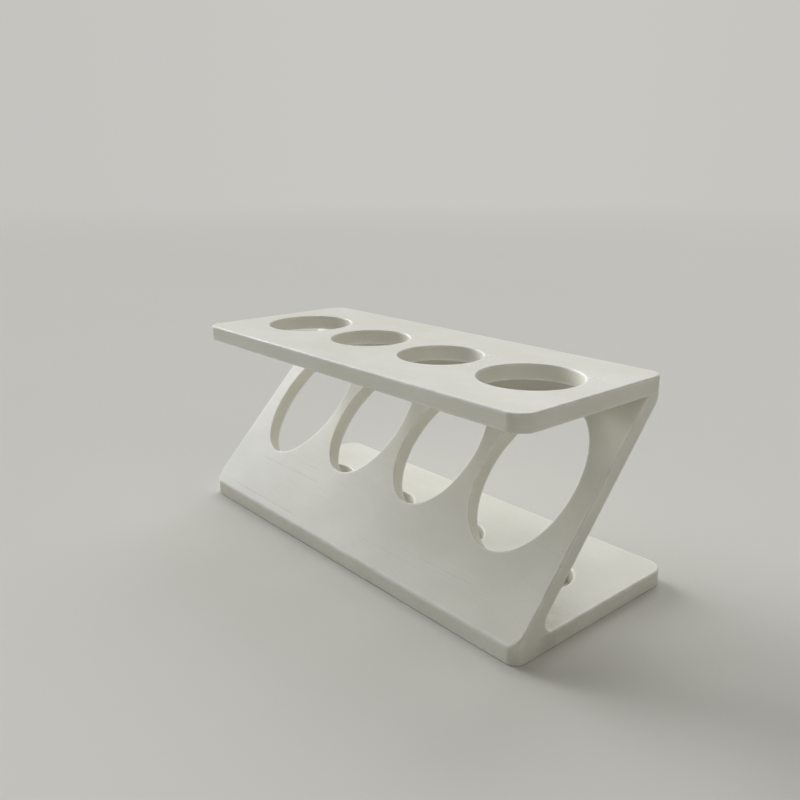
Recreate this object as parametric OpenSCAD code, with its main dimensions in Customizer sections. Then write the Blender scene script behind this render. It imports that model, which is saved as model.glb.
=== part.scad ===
// Z-shaped toothbrush holder of printed plastic boards.
// A base plate lies on the counter. A sloped front panel rises from the front
// edge of the base to the rear of the top plate. The top plate has a row of
// round holes, the panel has an opening below each hole, cut square to the
// slope, and the base has a drain hole below each opening. So a clear way leads
// straight down through all three.
// The boards are joined by blind dowel pegs: one row between panel and top
// plate, one row between panel and base plate.
// Frame: +X to the right, +Y to the back, +Z up. The origin is in the middle of
// the underside of the base plate.

/* [Overall] */
// width of the holder, left to right
body_w = 230; // [224:1:280]
// depth of the base plate, front to back
base_d = 100; // [96:1:120]
// depth of the top plate, front to back
top_d = 91; // [89:0.5:95]
// height of the holder
body_h = 98; // [92:1:104]
// radius of the upright corners
corner_r = 8; // [5:0.5:10]
// radius of the two upright corners at the foot, where base and panel meet in front
foot_corner_r = 5.5; // [4:0.5:8]

/* [Boards] */
// thickness of the top and base plates
plate_t = 7.5; // [6.8:0.1:9]
// thickness of the sloped panel, square to its face
panel_t = 7.5; // [7:0.1:8]
// distance that the panel's front face runs back between base and top plate
panel_run = 78; // [74:0.5:78]
// radius of the fillet between the panel's back and the base
foot_fillet = 5; // [3:0.5:7]
// bevel along the upper edge of the top plate
top_bevel = 0.6; // [0.3:0.1:0.9]
// bevel along the other outer edges of the plates
edge_bevel = 0.4; // [0.2:0.1:0.6]

/* [Top holes] */
// radius of the two outer holes in the top plate
outer_hole_r = 22.5; // [21:0.5:23]
// radius of the two inner holes in the top plate
inner_hole_r = 20; // [18:0.5:21]
// distance between the centres of the two outer holes
outer_pitch = 160; // [158:1:162]
// distance between the centres of the two inner holes
inner_pitch = 52; // [51:1:54]
// position of the hole row, measured back from the middle of the base
hole_y = -5; // [-7:0.5:-3]
// bevel round the mouth of each hole
hole_bevel = 0.5; // [0.2:0.1:0.8]

/* [Panel openings] */
// half width of the two outer openings in the panel
outer_open_r = 24.5; // [23:0.5:25]
// half width of the two inner openings in the panel
inner_open_r = 22; // [20:0.5:22]

/* [Drain holes] */
// radius of the drain holes in the base plate
drain_r = 16.25; // [12:0.25:17]
// position of the drain holes, measured back from the middle of the base
drain_y = 2.5; // [0:0.5:6]

/* [Dowel pegs] */
// radius of the pegs
peg_r = 1.75; // [1.25:0.05:1.75]
// length of the pegs, half in each board
peg_l = 9; // [7:0.5:9]

/* [Hidden] */
$fn = 96;

base_front = -base_d / 2;
top_back = base_front + top_d;
panel_z0 = plate_t;
panel_z1 = body_h - plate_t;
rise = panel_z1 - panel_z0;
slope = atan(rise / panel_run);
panel_h = panel_t / sin(slope);          // level thickness of the panel
slant = sqrt(rise * rise + panel_run * panel_run);
// distance from the acute corner to the ends of the fillet
fillet_run = foot_fillet / tan(slope / 2);
foot_y = base_front + panel_h;

peg_x = [-body_w / 2 + 9, -53, 0, 53, body_w / 2 - 9];
lower_peg_y = base_front + panel_h / 2 + peg_l / 4 / tan(slope) + 0.2;
upper_peg_y = base_front + panel_run + panel_h / 2 - peg_l / 4 / tan(slope) - 0.2;
peg_bevel = 0.3;
socket_gap = 0.05;

hole_x = [-outer_pitch / 2, -inner_pitch / 2, inner_pitch / 2, outer_pitch / 2];
hole_r = [outer_hole_r, inner_hole_r, inner_hole_r, outer_hole_r];
open_r = [outer_open_r, inner_open_r, inner_open_r, outer_open_r];

// a plain plate: a rectangle with four round corners, square edges;
// rf is the radius of the front corners, rb that of the back corners
module slab(y0, y1, z0, z1, rf, rb) {
    w = body_w / 2;
    h = z1 - z0;
    translate([-w + rf, y0, z0]) cube([2 * (w - rf), y1 - y0 - rb, h]);
    translate([-w + rb, y0 + rf, z0]) cube([2 * (w - rb), y1 - y0 - rf, h]);
    translate([-w, y0 + rf, z0]) cube([2 * w, y1 - y0 - rf - rb, h]);
    for (s = [-1, 1]) {
        translate([s * (w - rf), y0 + rf, z0]) cylinder(r = rf, h = h);
        translate([s * (w - rb), y1 - rb, z0]) cylinder(r = rb, h = h);
    }
}

// a level band of a plate whose four sides lean in by b over its height b
module bevel_band(y0, y1, z0, rf, rb, b, up) {
    w = body_w / 2;
    n = up ? 0 : b;      // inset at the lower face
    m = up ? b : 0;      // inset at the upper face
    // front edge
    rotate([90, 0, 90]) translate([0, 0, -w + rf]) linear_extrude(2 * (w - rf))
        polygon([[y0 + n, z0], [y1 - rb, z0], [y1 - rb, z0 + b], [y0 + m, z0 + b]]);
    // back edge
    rotate([90, 0, 90]) translate([0, 0, -w + rb]) linear_extrude(2 * (w - rb))
        polygon([[y0 + rf, z0], [y1 - n, z0], [y1 - m, z0 + b], [y0 + rf, z0 + b]]);
    // left and right edges
    translate([0, y1 - rb, 0]) rotate([90, 0, 0]) linear_extrude(y1 - y0 - rf - rb)
        polygon([[-w + n, z0], [w - n, z0], [w - m, z0 + b], [-w + m, z0 + b]]);
    for (s = [-1, 1]) {
        translate([s * (w - rf), y0 + rf, z0]) cylinder(r1 = rf - n, r2 = rf - m, h = b);
        translate([s * (w - rb), y1 - rb, z0]) cylinder(r1 = rb - n, r2 = rb - m, h = b);
    }
}

// a plate with bevels along its lower and upper edges
module plate(y0, y1, z0, z1, rf, rb, lower, upper) {
    slab(y0, y1, z0 + lower, z1 - upper, rf, rb);
    bevel_band(y0, y1, z0, rf, rb, lower, false);
    bevel_band(y0, y1, z1 - upper, rf, rb, upper, true);
}

// a through hole with a bevel at each mouth
module round_hole(x, y, z0, z1, r, b) {
    translate([x, y, z0 - 1]) cylinder(r = r, h = z1 - z0 + 2);
    translate([x, y, z1 - b]) cylinder(r1 = r, r2 = r + 2 * b, h = 2 * b);
    translate([x, y, z0 - b]) cylinder(r1 = r + 2 * b, r2 = r, h = 2 * b);
}

module peg_row(y, z, r, l) {
    for (x = peg_x) translate([x, y, z - l / 2]) cylinder(r = r, h = l, $fn = 48);
}

// side view of the panel, with the fillet at its foot
module panel_profile() {
    polygon([[base_front, panel_z0], [foot_y, panel_z0],
             [foot_y + panel_run, panel_z1], [base_front + panel_run, panel_z1]]);
    difference() {
        polygon([[foot_y - 2, panel_z0], [foot_y + fillet_run, panel_z0],
                 [foot_y + fillet_run, panel_z0 + foot_fillet],
                 [foot_y + fillet_run * cos(slope), panel_z0 + fillet_run * sin(slope)],
                 [foot_y + fillet_run * cos(slope) - 2, panel_z0 + fillet_run * sin(slope)]]);
        translate([foot_y + fillet_run, panel_z0 + foot_fillet]) circle(r = foot_fillet);
    }
}

// one elliptical opening, cut square to the slope
module panel_opening(x, r) {
    long = r / cos(slope);
    translate([x, hole_y, panel_z0 + (hole_y - base_front) * tan(slope)])
        rotate([slope, 0, 0]) translate([0, 0, -panel_t - 2]) linear_extrude(panel_t + 4)
            polygon([for (i = [0 : 71]) [r * cos(i * 5), long * sin(i * 5)]]);
}

module base_plate() {
    color([0.86, 0.85, 0.80]) difference() {
        union() {
            plate(base_front, -base_front, 0, plate_t, foot_corner_r, corner_r, edge_bevel, edge_bevel);
            // the upper edge stays square where the panel stands flush with it
            intersection() {
                slab(base_front, -base_front, edge_bevel, plate_t, foot_corner_r, corner_r);
                translate([-body_w / 2 - 1, base_front - 1, 0])
                    cube([body_w + 2, panel_h + fillet_run + 1, plate_t + 1]);
            }
        }
        for (i = [0 : 3])
            round_hole(hole_x[i], drain_y, 0, plate_t, drain_r, hole_bevel);
        peg_row(lower_peg_y, plate_t, peg_r + socket_gap, peg_l + 2 * socket_gap);
    }
}

module front_panel() {
    color([0.84, 0.83, 0.78]) difference() {
        intersection() {
            rotate([90, 0, 90]) translate([0, 0, -body_w / 2]) linear_extrude(body_w)
                panel_profile();
            slab(base_front, top_back, panel_z0, panel_z1, foot_corner_r, corner_r);
        }
        for (i = [0 : 3]) panel_opening(hole_x[i], open_r[i]);
        peg_row(lower_peg_y, panel_z0, peg_r + socket_gap, peg_l + 2 * socket_gap);
        peg_row(upper_peg_y, panel_z1, peg_r + socket_gap, peg_l + 2 * socket_gap);
    }
}

module top_plate() {
    color([0.90, 0.89, 0.84]) difference() {
        plate(base_front, top_back, panel_z1, body_h, corner_r, corner_r, edge_bevel, top_bevel);
        for (i = [0 : 3])
            round_hole(hole_x[i], hole_y, panel_z1, body_h, hole_r[i], hole_bevel);
        peg_row(upper_peg_y, panel_z1, peg_r + socket_gap, peg_l + 2 * socket_gap);
    }
}

// dowel pegs with bevelled ends
module pegs(y, z) {
    color([0.80, 0.79, 0.74]) for (x = peg_x) translate([x, y, z - peg_l / 2]) {
        cylinder(r1 = peg_r - peg_bevel, r2 = peg_r, h = peg_bevel, $fn = 48);
        translate([0, 0, peg_bevel]) cylinder(r = peg_r, h = peg_l - 2 * peg_bevel, $fn = 48);
        translate([0, 0, peg_l - peg_bevel])
            cylinder(r1 = peg_r, r2 = peg_r - peg_bevel, h = peg_bevel, $fn = 48);
    }
}

module lower_pegs() { pegs(lower_peg_y, panel_z0); }
module upper_pegs() { pegs(upper_peg_y, panel_z1); }

base_plate();
front_panel();
top_plate();
lower_pegs();
upper_pegs();
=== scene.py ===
import math

import bmesh
import bpy
from mathutils import Matrix, Vector
from mathutils.geometry import delaunay_2d_cdt


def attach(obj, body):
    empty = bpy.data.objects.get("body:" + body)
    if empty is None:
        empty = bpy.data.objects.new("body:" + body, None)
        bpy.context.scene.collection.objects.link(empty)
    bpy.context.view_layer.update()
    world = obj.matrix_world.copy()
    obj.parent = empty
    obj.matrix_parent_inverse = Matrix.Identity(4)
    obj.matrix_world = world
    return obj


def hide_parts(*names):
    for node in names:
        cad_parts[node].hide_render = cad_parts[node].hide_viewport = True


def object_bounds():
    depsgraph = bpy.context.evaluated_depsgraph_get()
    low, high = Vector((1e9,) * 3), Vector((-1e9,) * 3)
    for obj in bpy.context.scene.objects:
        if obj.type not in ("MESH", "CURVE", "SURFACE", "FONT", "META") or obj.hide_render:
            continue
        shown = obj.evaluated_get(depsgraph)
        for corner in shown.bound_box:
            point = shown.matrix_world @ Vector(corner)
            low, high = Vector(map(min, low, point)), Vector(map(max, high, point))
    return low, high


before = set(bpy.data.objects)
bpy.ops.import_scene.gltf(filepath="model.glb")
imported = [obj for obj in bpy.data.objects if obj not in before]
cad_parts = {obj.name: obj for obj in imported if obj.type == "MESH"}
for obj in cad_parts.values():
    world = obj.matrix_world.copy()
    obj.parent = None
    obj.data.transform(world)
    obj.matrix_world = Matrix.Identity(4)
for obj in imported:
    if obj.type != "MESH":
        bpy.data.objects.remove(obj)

cad_lo, cad_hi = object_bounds()

MM = 0.001
W = 115.0            # half width
Y0, YB, YT = -50.0, 50.0, 41.0  # front, back of the base, back of the top plate
H, T = 98.0, 7.5
Z0, Z1 = T, H - T
R, RF = 8.0, 5.5       # corners of the plates, and of the foot in front
RUN = 78.0
SLOPE = math.atan2(Z1 - Z0, RUN)
PH = T / math.sin(SLOPE)
FY = Y0 + PH
FIL = 5.0
FRUN = FIL / math.tan(SLOPE / 2)
HOLES = [(-80.0, 22.5, 24.5), (-26.0, 20.0, 22.0), (26.0, 20.0, 22.0), (80.0, 22.5, 24.5)]
HOLE_Y = -5.0
DRAIN_Y, DRAIN_R = 2.5, 16.25


# ---------------------------------------------------------------- mesh helpers
def mesh_object(name, verts, faces):
    me = bpy.data.meshes.new(name)
    me.from_pydata([Vector(v) * MM for v in verts], [], faces)
    me.validate()
    ob = bpy.data.objects.new(name, me)
    bpy.context.scene.collection.objects.link(ob)
    return ob


def prism(name, outline, place):
    """A closed prism over a 2-D outline; place maps (u, v, 0 or 1) to a point in mm."""
    n = len(outline)
    verts = [place(u, v, 0) for u, v in outline] + [place(u, v, 1) for u, v in outline]
    faces = [list(range(n))[::-1], list(range(n, 2 * n))]
    faces += [[i, (i + 1) % n, n + (i + 1) % n, n + i] for i in range(n)]
    ob = mesh_object(name, verts, faces)
    bm = bmesh.new()
    bm.from_mesh(ob.data)
    bmesh.ops.recalc_face_normals(bm, faces=bm.faces)
    bm.to_mesh(ob.data)
    bm.free()
    return ob


def round_rect(x0, x1, y0, y1, r, front=None, n=20):
    f = front or r
    pts = []
    for cx, cy, r, a0 in ((x1 - f, y0 + f, f, -90), (x1 - r, y1 - r, r, 0), (x0 + r, y1 - r, r, 90), (x0 + f, y0 + f, f, 180)):
        for i in range(n + 1):
            a = math.radians(a0 + 90 * i / n)
            pts.append((cx + r * math.cos(a), cy + r * math.sin(a)))
    return pts


def circle(cx, cy, r, n=112):
    return [(cx + r * math.cos(2 * math.pi * i / n), cy + r * math.sin(2 * math.pi * i / n)) for i in range(n)]


def upright(z0, z1):
    return lambda u, v, k: (u, v, z1 if k else z0)


def boolean(ob, tools, how):
    for t in tools:
        m = ob.modifiers.new("cut", "BOOLEAN")
        m.operation, m.solver, m.object = how, "EXACT", t
    dg = bpy.context.evaluated_depsgraph_get()
    me = bpy.data.meshes.new_from_object(ob.evaluated_get(dg))
    ob.modifiers.clear()
    old = ob.data
    ob.data = me
    bpy.data.meshes.remove(old)
    for t in tools:
        bpy.data.objects.remove(t)


def round_edges(bm, width, keep, segments=4):
    """Rounds each sharp edge for which keep(midpoint in mm) is true. The attribute 'rim' is 1 on the rounded strips."""
    bmesh.ops.remove_doubles(bm, verts=bm.verts, dist=2e-6)
    bmesh.ops.dissolve_limit(bm, angle_limit=math.radians(0.2), verts=bm.verts, edges=bm.edges)
    bmesh.ops.recalc_face_normals(bm, faces=bm.faces)
    chosen = [e for e in bm.edges if len(e.link_faces) == 2 and e.calc_face_angle(0) > math.radians(28)
              and keep((e.verts[0].co + e.verts[1].co) / 2 / MM)]
    out = bmesh.ops.bevel(bm, geom=chosen, offset=width * MM, offset_type="OFFSET", segments=segments, profile=0.5,
                          affect="EDGES", clamp_overlap=False, miter_outer="SHARP", loop_slide=True)
    rim, strip = bm.verts.layers.float["rim"], bm.faces.layers.int["strip"]
    for f in out["faces"]:
        f[strip] = 1
        for v in f.verts:
            v[rim] = 1.0


def ring_cut(bm, faces, point, normal):
    """Cuts faces by a plane; the new points on flats, away from the rounded strips, get rim 0."""
    rim, strip = bm.verts.layers.float["rim"], bm.faces.layers.int["strip"]
    geom = set(faces)
    for f in faces:
        geom.update(f.edges)
        geom.update(f.verts)
    out = bmesh.ops.bisect_plane(bm, geom=list(geom), dist=1e-6, plane_co=Vector(point) * MM, plane_no=normal)
    for v in out["geom_cut"]:
        if isinstance(v, bmesh.types.BMVert) and not any(f[strip] for f in v.link_faces):
            v[rim] = 0.0


def inward(loop, d):
    """A closed 2-D loop (anticlockwise) moved inward by d."""
    n, out = len(loop), []
    for i in range(n):
        p, q, r = Vector(loop[i - 1]), Vector(loop[i]), Vector(loop[(i + 1) % n])
        e0, e1 = (q - p).normalized(), (r - q).normalized()
        n0, n1 = Vector((-e0.y, e0.x)), Vector((-e1.y, e1.x))
        m = n0 + n1
        m = m / max(m.dot(n0), 0.2) if m.length > 1e-6 else n0
        out.append(tuple(q + m * d))
    return out


def inside(pt, loop):
    x, y = pt
    c = False
    for i in range(len(loop)):
        x0, y0 = loop[i - 1]
        x1, y1 = loop[i]
        if (y0 > y) != (y1 > y) and x < (x1 - x0) * (y - y0) / (y1 - y0) + x0:
            c = not c
    return c


def gap(pt, loop):
    return min((pt[0] - p[0]) ** 2 + (pt[1] - p[1]) ** 2 for p in loop) ** 0.5


def face_sheet(bm, face, holes, grid=7.0, ring=0.9):
    """Refills a big flat face with an even mesh that leaves holes open.
    holes are (loop of new bmesh vertices on the face, function giving the same loop grown by d in mm)."""
    n = face.normal.copy()
    o = face.verts[0].co.copy()
    u = Vector((1, 0, 0))
    v = n.cross(u).normalized()
    to2 = lambda c: (((c - o) / MM).dot(u), ((c - o) / MM).dot(v))
    to3 = lambda p: o + (u * p[0] + v * p[1]) * MM
    verts = list(face.verts)
    outer = [to2(w.co) for w in verts]
    area = sum(outer[i - 1][0] * outer[i][1] - outer[i][0] * outer[i - 1][1] for i in range(len(outer)))
    if area < 0:
        verts.reverse()
        outer.reverse()
    bmesh.ops.delete(bm, geom=[face], context="FACES_ONLY")
    pts, edges, made = [], [], []

    def add(loop, owners):
        k = len(pts)
        pts.extend(Vector(p) for p in loop)
        made.extend(owners)
        edges.extend((k + i, k + (i + 1) % len(loop)) for i in range(len(loop)))

    add(outer, verts)
    inner = inward(outer, ring)
    add(inner, [None] * len(inner))
    walls, rings = [], [inner]
    for loop, grow in holes:
        l2 = [to2(w.co) for w in loop]
        add(l2, list(loop))
        walls.append(l2)
        g = [to2(c) for c in grow(ring)]
        add(g, [None] * len(g))
        rings.append(g)
    xs, ys = [p[0] for p in outer], [p[1] for p in outer]
    nx, ny = int((max(xs) - min(xs)) / grid), int((max(ys) - min(ys)) / grid)
    for i in range(1, nx):
        for j in range(1, ny):
            p = (min(xs) + (max(xs) - min(xs)) * (i + 0.5 * (j % 2)) / nx, min(ys) + (max(ys) - min(ys)) * j / ny)
            if inside(p, inner) and gap(p, inner) > grid * 0.5 and all(not inside(p, w) and gap(p, w) > grid * 0.5 for w in rings[1:]):
                pts.append(Vector(p))
                made.append(None)
    res = delaunay_2d_cdt(pts, edges, [], 0, 1e-5)
    rv, rf, orig = res[0], res[2], res[3]
    out = []
    rim = bm.verts.layers.float["rim"]
    for i, p in enumerate(rv):
        w = next((made[k] for k in orig[i] if made[k] is not None), None)
        if w is None:
            w = bm.verts.new(to3(p))
            w[rim] = 0.0
        out.append(w)
    for f in rf:
        c = (sum(rv[i][0] for i in f) / len(f), sum(rv[i][1] for i in f) / len(f))
        if not inside(c, outer) or any(inside(c, w) for w in walls):
            continue
        try:
            g = bm.faces.new([out[i] for i in f])
        except ValueError:
            continue
        g.normal_update()
        if g.normal.dot(n) < 0:
            g.normal_flip()


def tunnel(bm, point, b, depth, count, steps=4):
    """The wall of a through hole. point(i, grow, n) gives the i-th point in metres, grown outward by grow, n below the upper face.
    Returns the loops on the upper and the lower face."""
    rim = bm.verts.layers.float["rim"]
    rows = []
    for k in range(steps + 1):
        t = math.pi / 2 * k / steps
        rows.append((b * (1 - math.sin(t)), b * (1 - math.cos(t)), 1.0))
    rows.append((0.0, b + 0.9, 0.0))
    for k in range(1, 6):
        rows.append((0.0, b + 0.9 + (depth - 2 * b - 1.8) * k / 6, 0.0))
    rows.append((0.0, depth - b - 0.9, 0.0))
    for k in range(steps, -1, -1):
        t = math.pi / 2 * k / steps
        rows.append((b * (1 - math.sin(t)), depth - b * (1 - math.cos(t)), 1.0))
    loops = []
    for g, n, w in rows:
        loop = [bm.verts.new(point(i, g, n)) for i in range(count)]
        for q in loop:
            q[rim] = w
        loops.append(loop)
    for l0, l1 in zip(loops, loops[1:]):
        for i in range(count):
            bm.faces.new([l0[i], l0[(i + 1) % count], l1[(i + 1) % count], l1[i]])
    return loops[0], loops[-1]


def big_face(bm, normal, z=None):
    best = None
    for f in bm.faces:
        if f.normal.dot(normal) > 0.9999 and (z is None or abs(f.calc_center_median().z / MM - z) < 0.01):
            if best is None or f.calc_area() > best.calc_area():
                best = f
    return best


def round_holes(bm, holes, z1, depth, b):
    """holes are (x, y, r). Cuts them through the board whose upper face is at z1."""
    up, down = [], []
    for x, y, r in holes:
        n = 128 if r > 18 else 96

        def pt(i, g, d, x=x, y=y, r=r, n=n):
            a = 2 * math.pi * i / n
            return Vector((x + (r + g) * math.cos(a), y + (r + g) * math.sin(a), z1 - d)) * MM

        l0, l1 = tunnel(bm, pt, b, depth, n)
        up.append((l0, lambda s, pt=pt, n=n: [pt(i, b + s, 0) for i in range(n)]))
        down.append((l1, lambda s, pt=pt, n=n: [pt(i, b + s, depth) for i in range(n)]))
    return up, down


def bm_of(ob):
    bm = bmesh.new()
    bm.from_mesh(ob.data)
    bm.verts.layers.float.new("rim")
    bm.faces.layers.int.new("strip")
    return bm


def store(bm, ob):
    bmesh.ops.recalc_face_normals(bm, faces=bm.faces)
    loose = [v for v in bm.verts if not v.link_faces]
    bmesh.ops.delete(bm, geom=loose, context="VERTS")
    bad = [e for e in bm.edges if len(e.link_faces) != 2]
    print(ob.name, "faces", len(bm.faces), "open or shared edges", len(bad))
    for v in bm.verts:
        v.co = [min(max(c, lo), hi) for c, lo, hi in zip(v.co, cad_lo, cad_hi)]
    bm.to_mesh(ob.data)
    bm.free()
    ob.data.update()


# ---------------------------------------------------------------- the boards
UP = Vector((0, 0, 1))
FRONT = Vector((0, -math.sin(SLOPE), math.cos(SLOPE)))


def make_top(name):
    ob = prism(name, round_rect(-W, W, Y0, YT, R), upright(Z1, H))
    bm = bm_of(ob)
    round_edges(bm, 0.7, lambda m: m.z > H - 0.1)
    round_edges(bm, 0.3, lambda m: m.z < Z1 + 0.1)
    for z in (Z1 + 1.2, H - 1.6):
        ring_cut(bm, [f for f in bm.faces if abs(f.normal.z) < 0.1], (0, 0, z), (0, 0, 1))
    up, down = round_holes(bm, [(x, HOLE_Y, r) for x, r, _ in HOLES], H, T, 0.6)
    face_sheet(bm, big_face(bm, UP, H), up)
    face_sheet(bm, big_face(bm, -UP, Z1), down)
    store(bm, ob)
    return ob


def make_lower():
    """Base and sloped board as one rounded shell, cut apart at the joint so that they stay flush."""
    t = math.tan(SLOPE)
    c = (FY + FRUN, Z0 + FIL)
    a0, a1 = -90.0, -90.0 - (180 - math.degrees(SLOPE))
    prof = [(Y0 - 1, -1), (YB + 1, -1), (YB + 1, Z0)]
    for i in range(17):
        a = math.radians(a0 + (a1 - a0) * i / 16)
        prof.append((c[0] + FIL * math.cos(a), c[1] + FIL * math.sin(a)))
    prof += [(FY + RUN + 1 / t, Z1 + 1), (Y0 + RUN + 1 / t, Z1 + 1), (Y0 - 1, Z0 - t)]
    ob = prism("shell", prof, lambda u, v, k: (-W - 1 if k else W + 1, u, v))
    boolean(ob, [prism("cut", round_rect(-W, W, Y0, YB, R, RF), upright(0, Z1))], "INTERSECT")
    for s in (-1, 1):
        arc = [(s * (W - R + R * math.cos(math.radians(i * 4.5))), YT - R + R * math.sin(math.radians(i * 4.5))) for i in range(21)]
        cut = arc + [(s * (W - R), YT + 3), (s * (W + 3), YT + 3), (s * (W + 3), YT - R)]
        boolean(ob, [prism("cut", cut, upright(60, Z1 + 5))], "DIFFERENCE")
    bm = bm_of(ob)
    round_edges(bm, 0.7, lambda m: m.z < Z1 - 0.05)
    rim = bm.verts.layers.float["rim"]
    ends = [f for f in bm.faces if abs(f.normal.x) > 0.999 and f.calc_area() > 5e-4]
    bmesh.ops.inset_individual(bm, faces=ends, thickness=0.9 * MM, use_even_offset=True)
    for f in ends:
        for v in f.verts:
            v[rim] = 0.0
    for z in (1.6, Z0 - 1.6):
        ring_cut(bm, [f for f in bm.faces if abs(f.normal.z) < 0.1 and f.calc_center_median().z / MM < Z0], (0, 0, z), (0, 0, 1))
    for x in (-W + 1.6, W - 1.6):
        ring_cut(bm, [f for f in bm.faces if abs(f.normal.x) < 0.3 and f.calc_area() < 6e-4 and len(f.verts) == 4
                      and FY - 1 < f.calc_center_median().y / MM < FY + FRUN + 1], (x, 0, 0), (1, 0, 0))
    shell = bpy.data.meshes.new("shell2")
    bm.to_mesh(shell)
    bm.free()
    old = ob.data
    bpy.data.objects.remove(ob)
    bpy.data.meshes.remove(old)
    out = []
    for name, keep_low in (("base_board", True), ("sloped_board", False)):
        bm = bmesh.new()
        bm.from_mesh(shell)
        cut = bmesh.ops.bisect_plane(bm, geom=list(bm.verts) + list(bm.edges) + list(bm.faces), dist=1e-7,
                                     plane_co=(0, 0, Z0 * MM), plane_no=(0, 0, 1), clear_outer=keep_low, clear_inner=not keep_low)
        if not keep_low:
            bm.normal_update()
            flat = [f for f in bm.faces if f.normal.z > 0.999 and all(abs(v.co.z - Z0 * MM) < 1e-6 for v in f.verts)]
            bmesh.ops.delete(bm, geom=flat, context="FACES")
            bmesh.ops.delete(bm, geom=[v for v in bm.verts if not v.link_faces], context="VERTS")
            for v in bm.verts:
                v.co.z = min(v.co.z, Z1 * MM)
            bmesh.ops.dissolve_degenerate(bm, dist=2e-6, edges=bm.edges)
        edges = [e for e in bm.edges if len(e.link_faces) == 1]
        bmesh.ops.contextual_create(bm, geom=edges)
        me = bpy.data.meshes.new(name)
        bm.to_mesh(me)
        bm.free()
        piece = bpy.data.objects.new(name, me)
        bpy.context.scene.collection.objects.link(piece)
        out.append(piece)
    bpy.data.meshes.remove(shell)
    return out


def open_base(ob):
    bm = bmesh.new()
    bm.from_mesh(ob.data)
    up, down = round_holes(bm, [(x, DRAIN_Y, DRAIN_R) for x, _, _ in HOLES], Z0, T, 0.5)
    face_sheet(bm, big_face(bm, UP, Z0), up)
    face_sheet(bm, big_face(bm, -UP, 0), down)
    store(bm, ob)


def open_panel(ob):
    bm = bmesh.new()
    bm.from_mesh(ob.data)
    s, co = math.sin(SLOPE), math.cos(SLOPE)
    zc = Z0 + (HOLE_Y - Y0) * math.tan(SLOPE)
    up, down, n, b = [], [], 160, 0.6
    for x, _, r in HOLES:

        def pt(i, g, d, x=x, r=r):
            a = 2 * math.pi * i / n
            q = r / co
            u, v = r * math.cos(a), q * math.sin(a)
            m = Vector((q * math.cos(a), r * math.sin(a))).normalized()
            u, v = u + m.x * g, v + m.y * g
            return Vector((x + u, HOLE_Y + v * co + d * s, zc + v * s - d * co)) * MM

        l0, l1 = tunnel(bm, pt, b, T, n)
        up.append((l0, lambda k, pt=pt: [pt(i, b + k, 0) for i in range(n)]))
        down.append((l1, lambda k, pt=pt: [pt(i, b + k, T) for i in range(n)]))
    face_sheet(bm, big_face(bm, FRONT), up)
    face_sheet(bm, big_face(bm, -FRONT), down)
    store(bm, ob)


top = make_top("top_board")
base, panel = make_lower()
open_base(base)
open_panel(panel)
for ob, node, sl in ((base, "base_plate", "base_plate"), (top, "top_plate", "top_plate"), (panel, "front_panel", "front_panel")):
    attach(ob, "root")
    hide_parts(node)
    for p in ob.data.polygons:
        p.use_smooth = True
    ob.data.set_sharp_from_angle(angle=math.radians(40))
    m = ob.modifiers.new("normals", "WEIGHTED_NORMAL")
    m.keep_sharp = True
    m.weight = 80


# ---------------------------------------------------------------- materials
class Paint:
    """Builds one procedural material. Lengths in it are millimetres."""

    def __init__(self, name):
        self.mat = bpy.data.materials.new(name)
        self.mat.use_nodes = True
        self.tree = self.mat.node_tree
        self.bsdf = self.tree.nodes["Principled BSDF"]

    def add(self, kind, ins=(), **props):
        n = self.tree.nodes.new("ShaderNode" + kind)
        for k, v in props.items():
            setattr(n, k, v)
        for k, v in dict(ins).items():
            self.put(n.inputs[k], v)
        return n

    def put(self, socket, v):
        if isinstance(v, bpy.types.NodeSocket):
            self.tree.links.new(v, socket)
        else:
            socket.default_value = v

    def calc(self, op, a, b=0.0, c=0.0, clamp=False):
        return self.add("Math", {0: a, 1: b, 2: c}, operation=op, use_clamp=clamp).outputs[0]

    def times(self, *xs):
        r = xs[0]
        for x in xs[1:]:
            r = self.calc("MULTIPLY", r, x)
        return r

    def plus(self, *xs):
        r = xs[0]
        for x in xs[1:]:
            r = self.calc("ADD", r, x)
        return r

    def step(self, x, lo, hi, a=0.0, b=1.0):
        n = self.add("MapRange", {"Value": x, "From Min": lo, "From Max": hi, "To Min": a, "To Max": b}, interpolation_type="SMOOTHSTEP")
        return n.outputs[0]

    def grain(self, at, size, detail=2.0, rough=0.5, shift=0.0):
        """Noise about 0.5 whose features are size = (along, across, deep) in mm."""
        m = self.add("Mapping", {"Vector": at, "Location": (shift, shift * 0.7, shift * 1.3), "Scale": tuple(1.0 / v for v in size)})
        return self.add("TexNoise", {"Vector": m.outputs[0], "Scale": 1.0, "Detail": detail, "Roughness": rough}).outputs["Fac"]

    def blend(self, f, a, b, how="MIX"):
        n = self.add("Mix", {0: f}, data_type="RGBA", blend_type=how)
        self.put(n.inputs[6], a)
        self.put(n.inputs[7], b)
        return n.outputs[2]


IVORY = (0.785, 0.777, 0.690, 1)
IVORY_DEEP = (0.735, 0.720, 0.625, 1)
# the pale colour below serves worn rims, and painted highlights and painted light
IVORY_PALE = (0.925, 0.920, 0.880, 1)
# the dark colour below serves dust, nicks and specks, and painted shade toward the sloped board's foot
DUST_AND_SHADE = (0.42, 0.40, 0.35, 1)


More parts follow.
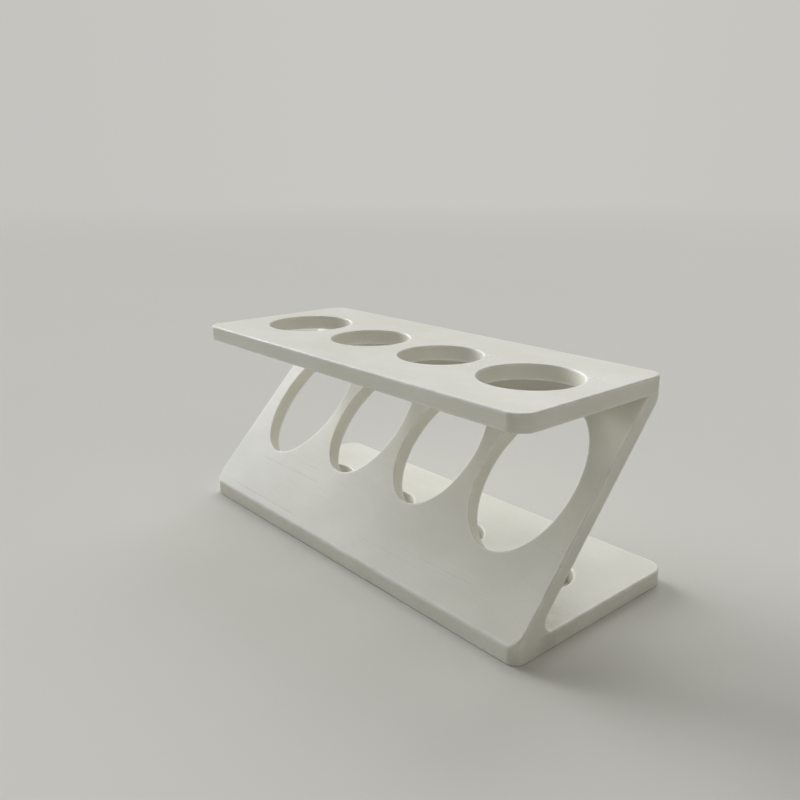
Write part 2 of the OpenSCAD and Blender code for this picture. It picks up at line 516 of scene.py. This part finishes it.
def printed(name, slope=0.0, shift=0.0, scores=(), rough_and_glint_spots=(), joint_dust_and_shade=(), strands=(60.0, -70.0), painted_lift_lines=()):
    """Ivory printed plastic. The board lies in a frame turned by slope about X: u runs along X, v across the board, w
    through it.
    scores are (v, u0, u1, depth) faint grooves along X, rough_and_glint_spots are (x, y, z, radius) where pinholes sit
    between ragged strands painted pale as a painted highlight, seams are (y, z, reach, amount) lines along X where dust
    sits in a joint, and with a wide reach painted shade that darkens the face toward the joint, strands are the u
    between which the printed strands go from hardly seen to plain, scars are (y, z, reach, amount) lines along X with
    paler colour round them, painted light that lifts the shade under an overhang."""
    p = Paint(name)
    co = p.add("TexCoord").outputs["Object"]
    mm = p.add("Mapping", {"Vector": co, "Rotation": (-slope, 0, 0), "Scale": (1000, 1000, 1000)}, vector_type="POINT").outputs[0]
    sep = p.add("SeparateXYZ", {0: mm})
    u, v = sep.outputs[0], sep.outputs[1]
    nor = p.add("TexCoord").outputs["Normal"]
    tilt = p.add("VectorMath", {0: nor, 1: (0, -math.sin(slope), math.cos(slope))}, operation="DOT_PRODUCT").outputs["Value"]
    flat = p.step(p.calc("ABSOLUTE", tilt), 0.6, 0.9)
    side = p.calc("SUBTRACT", 1.0, flat)
    rim = p.add("Attribute", attribute_name="rim").outputs["Fac"]

    broad = p.grain(mm, (38, 26, 30), 2, 0.5, shift)
    cloud = p.grain(mm, (11, 8, 9), 3, 0.6, shift + 3)
    fine = p.grain(mm, (0.8, 0.7, 0.8), 2, 0.6, shift + 7)
    raster = p.grain(mm, (26, 0.55, 4.0), 2, 0.55, shift + 11)
    raster2 = p.grain(mm, (7, 0.95, 4.0), 1, 0.5, shift + 17)
    layers = p.grain(mm, (30, 30, 0.34), 1, 0.5, shift + 23)
    patchy = p.times(p.step(p.grain(mm, (24, 15, 24), 2, 0.5, shift + 31), 0.42, 0.62), p.step(u, strands[0], strands[1], 0.2, 1.0))

    # long broken lines left by the nozzle, only where the noise peaks
    marks = p.grain(mm, (46, 1.15, 6.0), 1, 0.4, shift + 41)
    dark = p.times(p.step(marks, 0.69, 0.77), flat, p.step(u, strands[0], strands[1], 0.35, 1.0))
    light = p.times(p.step(marks, 0.31, 0.24), flat, p.step(u, strands[0], strands[1], 0.35, 1.0))

    # single faint grooves
    groove = None
    for v0, u0, u1, depth in scores:
        bend = p.calc("MULTIPLY_ADD", p.grain(mm, (34, 900, 900), 1, 0.4, shift + v0), 0.9, v0 - 0.45)
        off = p.calc("ABSOLUTE", p.calc("SUBTRACT", v, bend))
        g = p.times(p.step(off, 0.34, 0.06), p.step(u, u0, u0 + 9), p.step(u, u1, u1 - 9), depth,
                    p.step(p.grain(mm, (6, 60, 60), 2, 0.6, shift + v0 + 5), 0.36, 0.56, 0.25, 1.0), flat)
        groove = g if groove is None else p.plus(groove, g)

    # rough spots: pinholes between ragged strands, the strands painted pale as a painted highlight at the hole rims
    pin = ragged_and_glint = None
    for x, y, z, r in rough_and_glint_spots:
        d = p.add("VectorMath", {0: co, 1: (x * MM, y * MM, z * MM)}, operation="DISTANCE").outputs["Value"]
        near = p.step(p.calc("MULTIPLY_ADD", cloud, r * 0.0010, d), r * 0.0017, r * 0.0012)
        ragged_and_glint = near if ragged_and_glint is None else p.calc("MAXIMUM", ragged_and_glint, near)
    if ragged_and_glint is not None:
        ragged_and_glint = p.times(ragged_and_glint, p.calc("MAXIMUM", flat, rim))
        knots = p.grain(mm, (1.1, 0.8, 0.9), 2, 0.6, shift + 53)
        pin = p.times(ragged_and_glint, p.step(knots, 0.50, 0.40))
        ragged_and_glint = p.times(ragged_and_glint, p.step(knots, 0.50, 0.60))

    # worn rims, painted pale partly as a painted highlight along the rounded edges, and little nicks
    nick = p.times(rim, p.step(p.grain(mm, (2.6, 2.6, 1.6), 3, 0.65, shift + 61), 0.60, 0.68))
    worn_and_sheen = p.times(rim, p.step(p.grain(mm, (9, 9, 5), 3, 0.6, shift + 67), 0.34, 0.60, 0.35, 1.0))

    # dust in the joints between the boards, and painted shade where a line's reach is wide: a darkening of the face
    # toward the joint
    cs = p.add("SeparateXYZ", {0: co})

    def near_line(y, z, reach, least):
        dy, dz = p.calc("SUBTRACT", cs.outputs[1], y * MM), p.calc("SUBTRACT", cs.outputs[2], z * MM)
        d = p.calc("SQRT", p.plus(p.times(dy, dy), p.times(dz, dz)))
        return p.times(p.step(p.calc("MULTIPLY_ADD", fine, reach * 0.0004, d), reach * 0.0011, reach * 0.0001),
                       p.step(cloud, 0.3, 0.65, least, 1.0))

    dust_and_shade = painted_lift = None
    for y, z, reach, amount in joint_dust_and_shade:
        q = p.times(near_line(y, z, reach, 0.3), amount)
        dust_and_shade = q if dust_and_shade is None else p.calc("MAXIMUM", dust_and_shade, q)
    # painted light: paler colour round these lines lifts the shade under an overhang
    for y, z, reach, amount in painted_lift_lines:
        q = p.times(near_line(y, z, reach, 0.8), flat, amount)
        painted_lift = q if painted_lift is None else p.calc("MAXIMUM", painted_lift, q)

    col = p.blend(p.step(broad, 0.28, 0.72), IVORY_DEEP, IVORY)
    col = p.blend(p.times(p.step(cloud, 0.30, 0.75), 0.35), col, IVORY_DEEP)
    tone = p.plus(p.times(p.calc("SUBTRACT", fine, 0.5), 0.08),
                  p.times(p.calc("SUBTRACT", raster, 0.5), flat, p.calc("MULTIPLY_ADD", patchy, 0.085, 0.018)),
                  p.times(p.calc("SUBTRACT", raster2, 0.5), flat, 0.025),
                  p.times(p.calc("SUBTRACT", layers, 0.5), side, 0.09))
    tone = p.plus(tone, p.times(dark, -0.06), p.times(light, 0.05))
    if groove is not None:
        tone = p.plus(tone, p.times(groove, -0.15))
    if pin is not None:
        tone = p.plus(tone, p.times(pin, -0.09))
    tone = p.calc("ADD", tone, 1.0)
    shade = p.add("CombineColor", {0: tone, 1: tone, 2: tone})
    col = p.blend(1.0, col, shade.outputs[0], "MULTIPLY")
    # pale rims: wear, and painted highlight along the rounded edges
    col = p.blend(p.times(worn_and_sheen, 0.62), col, IVORY_PALE)
    if ragged_and_glint is not None:
        # painted highlight on the ragged strands round the hole rims
        col = p.blend(p.times(ragged_and_glint, 0.78), col, IVORY_PALE)
    # painted light lifting the shade on the sloped board just under the top board
    if painted_lift is not None:
        col = p.blend(painted_lift, col, IVORY_PALE)
    col = p.blend(p.times(nick, 0.20), col, DUST_AND_SHADE)
    # dust in the joints, and painted shade darkening the base top toward the sloped board's foot
    if dust_and_shade is not None:
        col = p.blend(dust_and_shade, col, DUST_AND_SHADE)
    speck = p.step(p.grain(mm, (0.9, 0.9, 0.9), 0, 0.5, shift + 71), 0.84, 0.87)
    col = p.blend(p.times(speck, 0.28), col, DUST_AND_SHADE)

    rough = p.plus(0.42, p.times(p.calc("SUBTRACT", cloud, 0.5), 0.16), p.times(p.calc("SUBTRACT", fine, 0.5), 0.12),
                   p.times(p.calc("SUBTRACT", raster, 0.5), flat, 0.16), p.times(worn_and_sheen, -0.10), p.times(side, 0.04))

    height = p.plus(p.times(broad, 0.30), p.times(cloud, 0.035), p.times(fine, 0.006),
                    p.times(raster, flat, p.calc("MULTIPLY_ADD", patchy, 0.009, 0.003)), p.times(raster2, flat, 0.003),
                    p.times(layers, side, 0.006), p.times(dark, -0.009), p.times(light, 0.008), p.times(nick, -0.03))
    if groove is not None:
        height = p.plus(height, p.times(groove, -0.035))
    if pin is not None:
        height = p.plus(height, p.times(pin, -0.035), p.times(ragged_and_glint, 0.03))
    bump = p.add("Bump", {"Strength": 1.0, "Distance": MM, "Height": height})

    p.put(p.bsdf.inputs["Base Color"], col)
    p.put(p.bsdf.inputs["Roughness"], rough)
    p.put(p.bsdf.inputs["Normal"], bump.outputs[0])
    p.put(p.bsdf.inputs["IOR"], 1.46)
    return p.mat


S_ALONG = Y0 * math.cos(SLOPE) + Z0 * math.sin(SLOPE)      # v of the sloped board's lower front edge
FOOT = (FY + FRUN, Z0)            # where the sloped board's back foot runs out on the base
HEAD = (Y0 + RUN, Z1)             # where its front face meets the top board
# the base's narrow line is dust in the joint; its wide line, 30 mm of reach, is painted shade darkening the base top
# toward the sloped board's foot
mat_base = printed("print_base", 0.0, 0.0, joint_dust_and_shade=[(*FOOT, 1.4, 0.34), (*FOOT, 30.0, 0.40)])
# the top board's rough spots carry a painted highlight: pale ragged strands at the hole rims
mat_top = printed("print_top", 0.0, 120.0, scores=[(-38.0, -40, 42, 0.6), (-43.5, 20, 96, 0.5), (31.0, -88, -12, 0.6)],
                  rough_and_glint_spots=[(52.5, -8, 98, 5.5), (44, 8, 98, 7.5), (98.5, 9, 98, 6.5)], joint_dust_and_shade=[(*HEAD, 0.7, 0.25), (HEAD[0] + PH, Z1, 0.8, 0.3)])
# the sloped board's line at HEAD, 17 mm of reach, is painted light that lifts the shade just under the top board
mat_panel = printed("print_panel", SLOPE, 240.0, scores=[(S_ALONG + 3.9, -103, -30, 1.0), (S_ALONG + 23.6, -92, -31, 0.9),
                                                        (S_ALONG + 29.5, -60, -36, 0.7), (S_ALONG + 14.0, 34, 96, 0.5),
                                                        (S_ALONG + 44.0, -54, -48, 0.6), (S_ALONG + 9.5, 6, 58, 0.4)],
                    joint_dust_and_shade=[(*FOOT, 1.2, 0.3), (*HEAD, 0.7, 0.15), (HEAD[0] + PH, Z1, 0.8, 0.3)], strands=(30.0, -60.0),
                    painted_lift_lines=[(*HEAD, 17.0, 0.9)])
mat_peg = printed("print_peg", 0.0, 360.0)
base.data.materials.append(mat_base)
top.data.materials.append(mat_top)
panel.data.materials.append(mat_panel)
for n in ("lower_pegs", "upper_pegs"):
    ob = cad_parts[n]
    ob.data.materials.clear()
    ob.data.materials.append(mat_peg)

# ---------------------------------------------------------------- floor, light, camera
GLOW = [0.22, 0.22, 0.26, 0.40, 0.55, 0.58, 0.55, 0.30]      # wall brightness at azimuth 0, 45, ... 315 (0 is in front, 90 on the right)


def sweep(glow):
    """A round studio floor that rises into a low wall, plain and pale. Far out it turns from painted to softly luminous, so it stays even."""
    prof = [(r, 0.0) for r in (0.0, 0.3, 0.6, 0.9, 1.2, 1.6, 2.0, 2.5, 3.0, 3.5, 4.0, 4.5, 5.0)]
    prof += [(5.0 + 2.4 * math.sin(math.radians(i * 6)), 2.4 - 2.4 * math.cos(math.radians(i * 6))) for i in range(1, 15)]
    prof += [(7.45, 3.0), (7.5, 4.2)]
    n = 96
    verts, faces, paint, light = [(0, 0, 0)], [], [1.0], [0.0]
    for r, z in prof[1:]:
        for i in range(n):
            a = 2 * math.pi * i / n
            verts.append((r * math.sin(a), -r * math.cos(a), z))
            k, f = divmod(i / n * 8, 1.0)
            f = 0.5 - 0.5 * math.cos(math.pi * f)
            g = glow[int(k) % 8] * (1 - f) + glow[(int(k) + 1) % 8] * f
            t = min(1.0, max(0.0, (r - 1.0) / 3.5))
            t = t * t * (3 - 2 * t)
            light.append(g * t * (1.0 if z < 2.2 else 0.6 if z < 3.5 else 0.35))
            paint.append(1 - t)
    for i in range(n):
        faces.append((0, 1 + i, 1 + (i + 1) % n))
    for k in range(len(prof) - 2):
        o = 1 + k * n
        faces += [(o + i, o + n + i, o + n + (i + 1) % n, o + (i + 1) % n) for i in range(n)]
    me = bpy.data.meshes.new("floor")
    me.from_pydata(verts, [], faces)
    me.attributes.new("glow", "FLOAT", "POINT").data.foreach_set("value", light)
    me.attributes.new("paint", "FLOAT", "POINT").data.foreach_set("value", paint)
    for p in me.polygons:
        p.use_smooth = True
    ob = bpy.data.objects.new("floor", me)
    ob.visible_shadow = False
    bpy.context.scene.collection.objects.link(ob)
    p = Paint("floor_paint")
    tone = p.calc("MULTIPLY_ADD", p.grain(p.add("TexCoord").outputs["Object"], (0.5, 0.5, 0.5), 2), 0.02, 0.625)
    tone = p.times(tone, p.add("Attribute", attribute_name="paint").outputs["Fac"])
    p.put(p.bsdf.inputs["Base Color"], p.add("CombineColor", {0: tone, 1: p.times(tone, 0.985), 2: p.times(tone, 0.91)}).outputs[0])
    p.put(p.bsdf.inputs["Emission Strength"], p.add("Attribute", attribute_name="glow").outputs["Fac"])
    p.bsdf.inputs["Emission Color"].default_value = (1.0, 0.99, 0.94, 1)
    p.bsdf.inputs["Roughness"].default_value = 0.9
    p.bsdf.inputs["Specular IOR Level"].default_value = 0.0
    me.materials.append(p.mat)
    return ob


sweep(GLOW)


def lamp(name, az, el, strength, col=(1, 1, 1), angle=0.6):
    """A soft distant lamp seen from the object at azimuth az (0 is in front, 90 on the right) and elevation el, in degrees."""
    a, e = math.radians(az), math.radians(el)
    d = Vector((math.sin(a) * math.cos(e), -math.cos(a) * math.cos(e), math.sin(e)))
    li = bpy.data.lights.new(name, "SUN")
    li.energy, li.angle, li.color = strength, angle, col
    ob = bpy.data.objects.new(name, li)
    ob.location = d * 3
    ob.rotation_mode = "QUATERNION"
    ob.rotation_quaternion = (-d).to_track_quat("-Z", "Y")
    bpy.context.scene.collection.objects.link(ob)


COOL, WARM = (0.985, 1.0, 1.05), (1.0, 0.985, 0.92)
lamp("key", -90, 18, 3.15, COOL)
lamp("front", -75, 24, 0.80, COOL)
lamp("back", -150, 45, 0.88, COOL)
lamp("left_back", -112, 27, 0.22, COOL)
lamp("above", 120, 75, 0.35, WARM)
lamp("right", 90, 45, 0.26, WARM)

world = bpy.data.worlds.new("studio")
bpy.context.scene.world = world
world.use_nodes = True
world.node_tree.nodes["Background"].inputs[0].default_value = (1.0, 1.0, 1.0, 1)
world.node_tree.nodes["Background"].inputs[1].default_value = 0.03

F, CX, CY = 804.69, 413.34, 347.1
CAM = ((351.86 - 100) * 1.15, -176.57 * 1.15 - 50, 156.72 * 1.15)
AZ, EL, ROLL = 48.74, 12.28, -0.17
cam = bpy.data.cameras.new("camera")
cam.sensor_width = 36
cam.lens = 36 * F / 800
cam.shift_x = -(CX - 400) / 800
cam.shift_y = (CY - 400) / 800
cam.clip_start, cam.clip_end = 0.01, 20
co = bpy.data.objects.new("camera", cam)
a, e, r = map(math.radians, (AZ, EL, ROLL))
back = Vector((math.sin(a) * math.cos(e), -math.cos(a) * math.cos(e), math.sin(e)))
co.rotation_mode = "QUATERNION"
q = (-back).to_track_quat("-Z", "Y")
co.rotation_quaternion = q @ Matrix.Rotation(r, 3, "Z").to_quaternion()
co.location = Vector(CAM) * MM
bpy.context.scene.collection.objects.link(co)
bpy.context.scene.camera = co
bpy.context.scene.view_settings.view_transform = "Standard"
